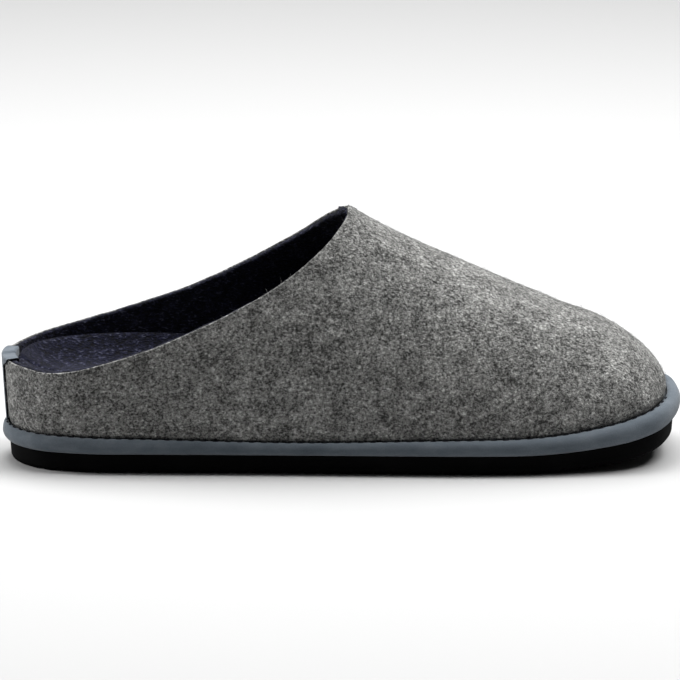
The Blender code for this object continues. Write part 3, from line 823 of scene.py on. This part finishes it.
def addFootbed():
    # Rings by stations. Side: in from the felt's foot by the wall's own draw at shares of the rim.
    # Rim: a quarter circle. Top: from the rim down to the middle by a power of the way that is left.
    look = footbedLook
    x, y = feltLoop.T
    middleY = np.interp(x, (feltFoot.back[0], feltFoot.front[0]), (feltFoot.back[1], feltFoot.front[1]))
    rim = np.where(y < middleY, footbedThickness(2, x), footbedThickness(3, x))
    halfWidth = np.maximum(np.abs(y - ridgeAcross(x)), last["noseRoom"] * last["toeNose"])
    stripReach = stripLook["width"] / 2
    beside = ease(np.abs(y - feltFoot.back[1]), stripReach, stripReach + stripLook["relief"])
    relief = (stripLook["thickness"] + last["seatGap"]) * (1 - beside) * upright(x)
    seat = last["felt"] + last["footbedClearance"] + relief
    radius = look["rimRadius"]
    rings = []

    def rimAt(at, side):
        return footbedThickness(2 if side < 0 else 3, at)

    def ring(inset, height):
        sides = Sides(insetLoop(feltLoop, inset))
        turn = np.linspace(0, math.pi, look["stations"] + 1)
        at = sides.back[0] + (sides.front[0] - sides.back[0]) * (1 - np.cos(turn)) / 2
        back = at[-2:0:-1]
        outer = np.column_stack([at, sides.y(-1, at), upperFoot(at) + height(at, -1)])
        inner = np.column_stack([back, sides.y(1, back), upperFoot(back) + height(back, 1)])
        rings.append(np.vstack([outer, inner]))

    for share in look["sideShares"]:
        ring(seat + wallDraw(x, halfWidth, rim * share), lambda at, side: rimAt(at, side) * share)
    for turn in np.linspace(0, math.pi / 2, look["rimSteps"] + 1):
        inset = seat + wallDraw(x, halfWidth, rim - radius) + radius * (1 - math.cos(turn))
        ring(inset, lambda at, side: rimAt(at, side) - radius * (1 - math.sin(turn)))
    for step in np.linspace(0, 1, look["cupSteps"] + 1)[1:]:

        def cup(at, side):
            (first, bySide), (second, byStep) = look["waves"]
            wave = np.sin(at * first + side * bySide) * np.sin(at * second + step * byStep)
            middle = footbedThickness(1, at) + look["uneven"] * wave * ease(step, 0.0, look["evenRim"])
            return middle + (rimAt(at, side) - middle) * (1 - step) ** last["cupPower"]

        ring(seat + wallDraw(x, halfWidth, rim) + radius + (last["cupWidth"] - radius) * step, cup)
    points, faces = stackedRings(rings)
    return addPiece("footbedFelt", points, faces, footbedMaterial, ("footbed",))


addFootbed()

# Platform: suede wrapped round the board, rolling over into the seam at the felt's foot
platformLook = {
    "around": 640,
    "profileSteps": 10,
    "seamWidth": 0.0011,
    "seamSteps": 5,
    "seamTurn": 1.4,  # way in to the bottom of the dip, in seam widths
    "seamEnd": 2.4,
    "underFelt": 0.001,
    "dip": 0.0009,
    "ripple": 0.00009,
    "ripples": ((1.0, 330.0, 0.0), (0.6, 710.0, 1.0)),  # share, radians per metre, phase
}


def addPlatform():
    # A profile carried round the outline. Below the waist a quarter ellipse out from the tuck, above
    # it one that rolls in to the seam, then a quarter ellipse down into the seam's dip.
    look = platformLook
    tuck = last["outsoleInset"] + last["tuck"]
    waist = last["waist"]
    narrow = ledge - look["seamWidth"]
    evenly = np.linspace(0, 1, look["around"] // 2 + 1)
    rings = []

    def ring(inset, share, drop=0.0):
        sides = Sides(insetLoop(platformLoop, inset))
        outer, inner = (pointsAlong(sides.points[side], evenly) for side in (-1, 1))
        flat = np.vstack([outer, inner[-2:0:-1]])
        ripple = sum(part * np.sin(flat[:, 0] * along + phase) for part, along, phase in look["ripples"])
        swell = look["ripple"] * ripple * math.sin(math.pi * share)
        rings.append(np.column_stack([flat, platformLevel(flat[:, 0], share) - drop + swell]))

    for angle in np.linspace(0, math.pi / 2, look["profileSteps"]):
        ring(tuck * (1 - math.sin(angle)), waist * (1 - math.cos(angle)))
    for angle in np.linspace(0, math.pi / 2, look["profileSteps"])[1:]:
        ring(narrow * (1 - math.cos(angle)), waist + (1 - waist) * math.sin(angle))
    for angle in np.linspace(0, math.pi / 2, look["seamSteps"] + 1)[1:]:
        inset = narrow + look["seamWidth"] * math.sin(angle) * look["seamTurn"]
        ring(inset, 1.0, look["dip"] * (1 - math.cos(angle)))
    ring(narrow + look["seamWidth"] * look["seamEnd"] + look["underFelt"], 1.0, look["dip"])
    points, faces = stackedRings(rings)
    addPiece("platformSuede", points, faces, suedeMaterial, ("platform",))


addPlatform()

# Seam: short dark stitches along the foot of the felt
stitchLook = {
    "pitch": 0.0050,
    "length": 0.0027,
    "radius": 0.00045,
    "blunt": 0.6,  # power of the ends' rounding
    "outFromFelt": 0.0010,
    "sunk": 0.00005,
    "tipSunk": 0.0006,
    "tipRange": (0.974, 0.978),  # share of the length over which they sink into the seam
}


def capsule(blunt, around=6, along=6):
    # unit capsule along X from -1 to 1, radius 1 at the middle: a power of a sine from end to end
    turn = np.linspace(0, math.pi, along + 1)
    ring = np.arange(around) * 2 * math.pi / around
    radius = np.sin(turn)[:, None] ** blunt
    radius[[0, -1]] = 0
    middle = np.repeat(-np.cos(turn)[:, None], around, 1)
    points = np.stack([middle, radius * np.cos(ring), radius * np.sin(ring)], axis=-1)
    numbers = np.arange((along + 1) * around).reshape(along + 1, around)
    numbers[0], numbers[-1] = numbers[0, 0], numbers[-1, 0]
    used, numbers = np.unique(numbers, return_inverse=True)
    return points.reshape(-1, 3)[used], ringQuads(numbers.reshape(along + 1, around))


def addStitches():
    look = stitchLook
    loop = insetLoop(platformLoop, ledge - look["outFromFelt"])
    count = int(round(lengthsAlong(np.vstack([loop, loop[:1]]))[-1] / look["pitch"]))
    centres = evenLoop(loop, count)
    finer = 8  # parts of the pitch, the first of which gives the direction
    along = unit(evenLoop(loop, count * finer)[1::finer] - centres)
    atTip = ease(centres[:, 0] / last["length"], *look["tipRange"])
    level = platformLevel(centres[:, 0], 1.0) - look["sunk"] - look["tipSunk"] * atTip
    centre = np.column_stack([centres, level])
    step = 0.001  # to each side, for the slope
    rise = (upperFoot(centres[:, 0] + step) - upperFoot(centres[:, 0] - step)) / (2 * step)
    forward = unit(np.column_stack([along, rise * along[:, 0]]))
    sideways = unit(np.column_stack([-forward[:, 1], forward[:, 0], np.zeros(count)]))
    up = np.cross(forward, sideways)
    shape, quads = capsule(look["blunt"])
    points = (centre[:, None]
              + shape[None, :, :1] * look["length"] / 2 * forward[:, None]
              + shape[None, :, 1:2] * look["radius"] * sideways[:, None]
              + shape[None, :, 2:] * look["radius"] * up[:, None])
    faces = facesOf(repeatedQuads(quads, count, len(shape)))
    addPiece("seamStitches", points.reshape(-1, 3), faces, threadMaterial)


addStitches()

# Seam cord: a dark line in the seam between felt and platform, closed round the shoe, partly thread and
# partly painted shade of the seam's recess
seamThreadShadeLook = {"steps": 900, "around": 6, "radius": 0.00040, "outFromFelt": 0.0001, "sunk": 0.0005}


def addSeamThreadAndShade():
    # Steps by turns: circles across the felt's outline, upright
    look = seamThreadShadeLook
    loop = evenLoop(insetLoop(platformLoop, ledge - look["outFromFelt"]), look["steps"])
    path = np.column_stack([loop, platformLevel(loop[:, 0], 1.0) - look["sunk"]])
    turn = np.linspace(0, 2 * math.pi, look["around"] + 1)[:-1]
    along = unit(np.roll(loop, -1, axis=0) - np.roll(loop, 1, axis=0))
    sideways = np.column_stack([along[:, 1], -along[:, 0], np.zeros(len(loop))])
    points = path[:, None] + look["radius"] * np.cos(turn)[:, None] * sideways[:, None]
    points[..., 2] += look["radius"] * np.sin(turn)
    numbers = np.arange(points[..., 0].size).reshape(points.shape[:2])
    faces = facesOf(ringQuads(np.vstack([numbers, numbers[:1]])))
    # dark cord: thread, and painted shade where the felt meets the platform
    addPiece("seamThreadAndShadeCord", points.reshape(-1, 3), faces, threadMaterial)


addSeamThreadAndShade()

# Outsole: black rubber with a rounded lower edge, cut across by grooves
outsoleLook = {
    "stations": 720,
    "endStations": 14,
    "endShare": 0.012,
    "taper": 0.0004,
    "edgeRadius": 0.0022,
    "edgeRows": 8,
    "sideRows": 4,
    "groovePitch": 0.0072,
    "grooveWidth": 0.0030,
    "grooveFloor": 0.0015,
    "grooveDepth": 0.0012,
    "treadStart": 0.016,
    "treadEnd": 0.036,
    "endFade": 0.030,  # over which stations shift as the outline shrinks
}


def grooveHeight(x):
    # a groove every pitch: its depth at the middle, falling smoothly to nothing at its edge
    look = outsoleLook
    middles = np.arange(look["treadStart"], last["length"] - look["treadEnd"], look["groovePitch"])
    away = np.min(np.abs(x[:, None] - middles[None]), axis=1)
    return look["grooveDepth"] * (1 - ease(away, look["grooveFloor"] / 2, look["grooveWidth"] / 2))


def addOutsole():
    # Rings by stations: a quarter circle at the lower edge, then a tapered side, on the sole's rise
    look = outsoleLook
    foot = last["outsoleInset"]
    ends = look["endShare"] * (np.arange(look["endStations"]) / look["endStations"]) ** 2
    shares = np.unique(np.concatenate([np.linspace(0, 1, look["stations"] + 1), ends, 1 - ends]))
    first = Sides(insetLoop(platformLoop, foot))
    stations = first.back[0] + (first.front[0] - first.back[0]) * shares
    nearBack = 1 - ease(stations, first.back[0], first.back[0] + look["endFade"])
    nearFront = ease(stations, first.front[0] - look["endFade"], first.front[0])
    rings = []

    def ring(inset, level):
        sides = Sides(insetLoop(platformLoop, inset))
        backShift, frontShift = sides.back[0] - first.back[0], sides.front[0] - first.front[0]
        at = stations + backShift * nearBack + frontShift * nearFront
        at[0], at[-1] = sides.back[0], sides.front[0]
        height = soleRise(at) + np.maximum(level, grooveHeight(at))
        outer = np.column_stack([at, sides.y(-1, at), height])
        inner = np.column_stack([at, sides.y(1, at), height])[-2:0:-1]
        rings.append(np.vstack([outer, inner]))

    for angle in np.linspace(0, math.pi / 2, look["edgeRows"]):
        inset = foot + look["taper"] + look["edgeRadius"] * (1 - math.sin(angle))
        ring(inset, look["edgeRadius"] * (1 - math.cos(angle)))
    for share in np.linspace(0, 1, look["sideRows"] + 1)[1:]:
        level = look["edgeRadius"] + (last["outsole"] - look["edgeRadius"]) * share
        ring(foot + look["taper"] * (1 - share), level)
    points, faces = stackedRings(rings)
    addPiece("outsoleRubber", points, faces, rubberMaterial, ("outsole",), sharp=50)


addOutsole()

# Stray fibres that stand off the felt
fuzzLook = {
    "fibres": 5200,
    "length": 0.0020,
    "shortest": 0.5,  # share of the length, to which chance adds up to one more
    "radius": 0.00003,
    "seed": 7,
    "bend": 0.5,
    "lift": (0.12, 0.25),  # least, and how much more by chance
    "arch": 1.1,
    "off": 0.03,  # of the length, off the felt
    "sunk": 0.0002,  # at both ends
    "tapers": (1.0, 1.0, 1.0, 0.4),  # thickness at the four steps of a fibre
    "patches": (220.0, 2.0, 0.5),
    "patchRange": (0.40, 0.60),
    "dark": (0.05, 0.05, 0.052),
    "pale": (0.42, 0.42, 0.41),
}


def addFuzz():
    # Fibres by steps by turns: a triangle carried along each fibre, over a chance point of the skin
    look = fuzzLook
    fibres = look["fibres"]
    random = np.random.default_rng(look["seed"])
    corners = skinPoints[skinQuads]
    areas = np.linalg.norm(np.cross(corners[:, 2] - corners[:, 0], corners[:, 3] - corners[:, 1]), axis=1)
    quad = skinQuads[random.choice(len(skinQuads), fibres, p=areas / areas.sum())]
    one, other = np.split(random.random((fibres, 2)), 2, axis=1)
    shares = (one * other, (1 - one) * other, (1 - one) * (1 - other), one * (1 - other))
    start = sum(skinPoints[quad[:, corner]] * share for corner, share in enumerate(shares))
    normal = skinNormals[quad[:, 0]]
    drift = random.normal(size=(fibres, 3))
    drift = unit(drift - normal * np.sum(drift * normal, axis=1)[:, None])
    curl = np.cross(normal, drift)
    bend = random.normal(size=(fibres, 1)) * look["bend"]
    length = look["length"] * (look["shortest"] + random.random((fibres, 1)))
    lift = look["lift"][0] + look["lift"][1] * random.random((fibres, 1))

    def fibreAt(way):
        # drifts over the felt, curls by the square of the way, arches up by a sine, sinks at its ends
        off = lift * np.sin(math.pi * way) * look["arch"] + look["off"]
        sunk = look["sunk"] if way in (0.0, 1.0) else 0.0
        curled = start + drift * length * way + curl * length * bend * way * way
        return curled + normal * length * off - normal * sunk

    steps, sides = len(look["tapers"]), 3
    path = np.stack([fibreAt(way) for way in np.linspace(0, 1, steps)], axis=1)
    turn = (np.arange(sides) * 2 * math.pi / sides)[:, None]
    ring = (np.cos(turn) * normal[:, None, None] + np.sin(turn) * curl[:, None, None]) * look["radius"]
    points = path[:, :, None] + ring * np.array(look["tapers"])[:, None, None]
    size = steps * sides
    ends = [[0, 1, 2, 2], [size - 1, size - 2, size - 3, size - 3]]
    quads = np.vstack([ringQuads(np.arange(size).reshape(steps, sides)), ends])
    finish = Finish("strayFibre", Roughness=1.0, Metallic=0.0)
    patches = finish.noise(*look["patches"]).between(*look["patchRange"])
    material = finish.coloured(finish.mixed(patches, look["dark"], look["pale"]))
    addPiece("strayFibres", points.reshape(-1, 3), facesOf(repeatedQuads(quads, fibres, size)), material)


addFuzz()

# Stage: pale floor, soft lights, and the photograph's viewpoint
stageLook = {
    "floor": (0.42, 0.42, 0.42),
    "mottle": (3.0, 2.0, 0.5),
    "mottleTone": 0.985,  # times the floor's own
    "size": 9.0,
    "world": 0.05,
}
# area lights: place, aim, size, watts
lights = {
    "topSoftbox": ((0.10, 0.35, 1.35), (0.0, 0.0, 0.03), (1.2, 1.0), 33.0),
    "toeSoftbox": ((0.70, -0.05, 1.15), (0.05, 0.0, 0.05), (0.6, 0.6), 14.0),
    "heelSoftbox": ((-1.1, 0.20, 0.50), (-0.05, 0.0, 0.05), (0.6, 0.6), 11.0),
    "backSoftbox": ((0.0, 1.6, 1.5), (0.0, 1.1, 0.0), (2.6, 1.0), 26.0),
}
# the camera turned and raised about its target, in degrees, and its lens in mm
cameraLook = {
    "target": (-0.00075, 0.0, 0.0476),
    "yaw": 3.0,
    "elevation": 12.8,
    "distance": 2.2,
    "lens": 277.0,
}


def addFloor():
    look = stageLook
    mesh = bpy.data.meshes.new("floor")
    half = look["size"] / 2
    corners = [(-half, -half, 0), (half, -half, 0), (half, half, 0), (-half, half, 0)]
    mesh.from_pydata(corners, [], [(0, 1, 2, 3)])
    floor = bpy.data.objects.new("floor", mesh)
    bpy.context.scene.collection.objects.link(floor)
    finish = Finish("floorPaper", Roughness=0.9, Metallic=0.0)
    other = tuple(look["mottleTone"] * part for part in look["floor"])
    mesh.materials.append(finish.coloured(finish.mixed(finish.noise(*look["mottle"]), look["floor"], other)))


def addLight(name, place, target, size, watts):
    data = bpy.data.lights.new(name, "AREA")
    data.shape = "RECTANGLE"
    data.size, data.size_y = size
    data.energy = watts
    light = bpy.data.objects.new(name, data)
    light.location = place
    light.rotation_euler = (Vector(target) - Vector(place)).to_track_quat("-Z", "Y").to_euler()
    bpy.context.scene.collection.objects.link(light)


def addCamera():
    look = cameraLook
    yaw, rise = math.radians(look["yaw"]), math.radians(look["elevation"])
    back = Vector((-math.sin(yaw) * math.cos(rise), -math.cos(yaw) * math.cos(rise), math.sin(rise)))
    data = bpy.data.cameras.new("camera")
    data.sensor_width = 36.0
    data.lens = look["lens"]
    data.clip_start, data.clip_end = 0.05, 50.0
    camera = bpy.data.objects.new("camera", data)
    camera.location = Vector(look["target"]) + back * look["distance"]
    camera.rotation_mode = "QUATERNION"
    camera.rotation_quaternion = (-back).to_track_quat("-Z", "Y")
    bpy.context.scene.collection.objects.link(camera)
    bpy.context.scene.camera = camera


addFloor()
addCamera()
for name, light in lights.items():
    addLight(name, *light)
world = bpy.data.worlds.new("studio")
world.use_nodes = True
world.node_tree.nodes["Background"].inputs["Color"].default_value = (1.0, 1.0, 1.0, 1.0)
world.node_tree.nodes["Background"].inputs["Strength"].default_value = stageLook["world"]
bpy.context.scene.world = world
bpy.context.scene.view_settings.view_transform = "Standard"

print("stage set")
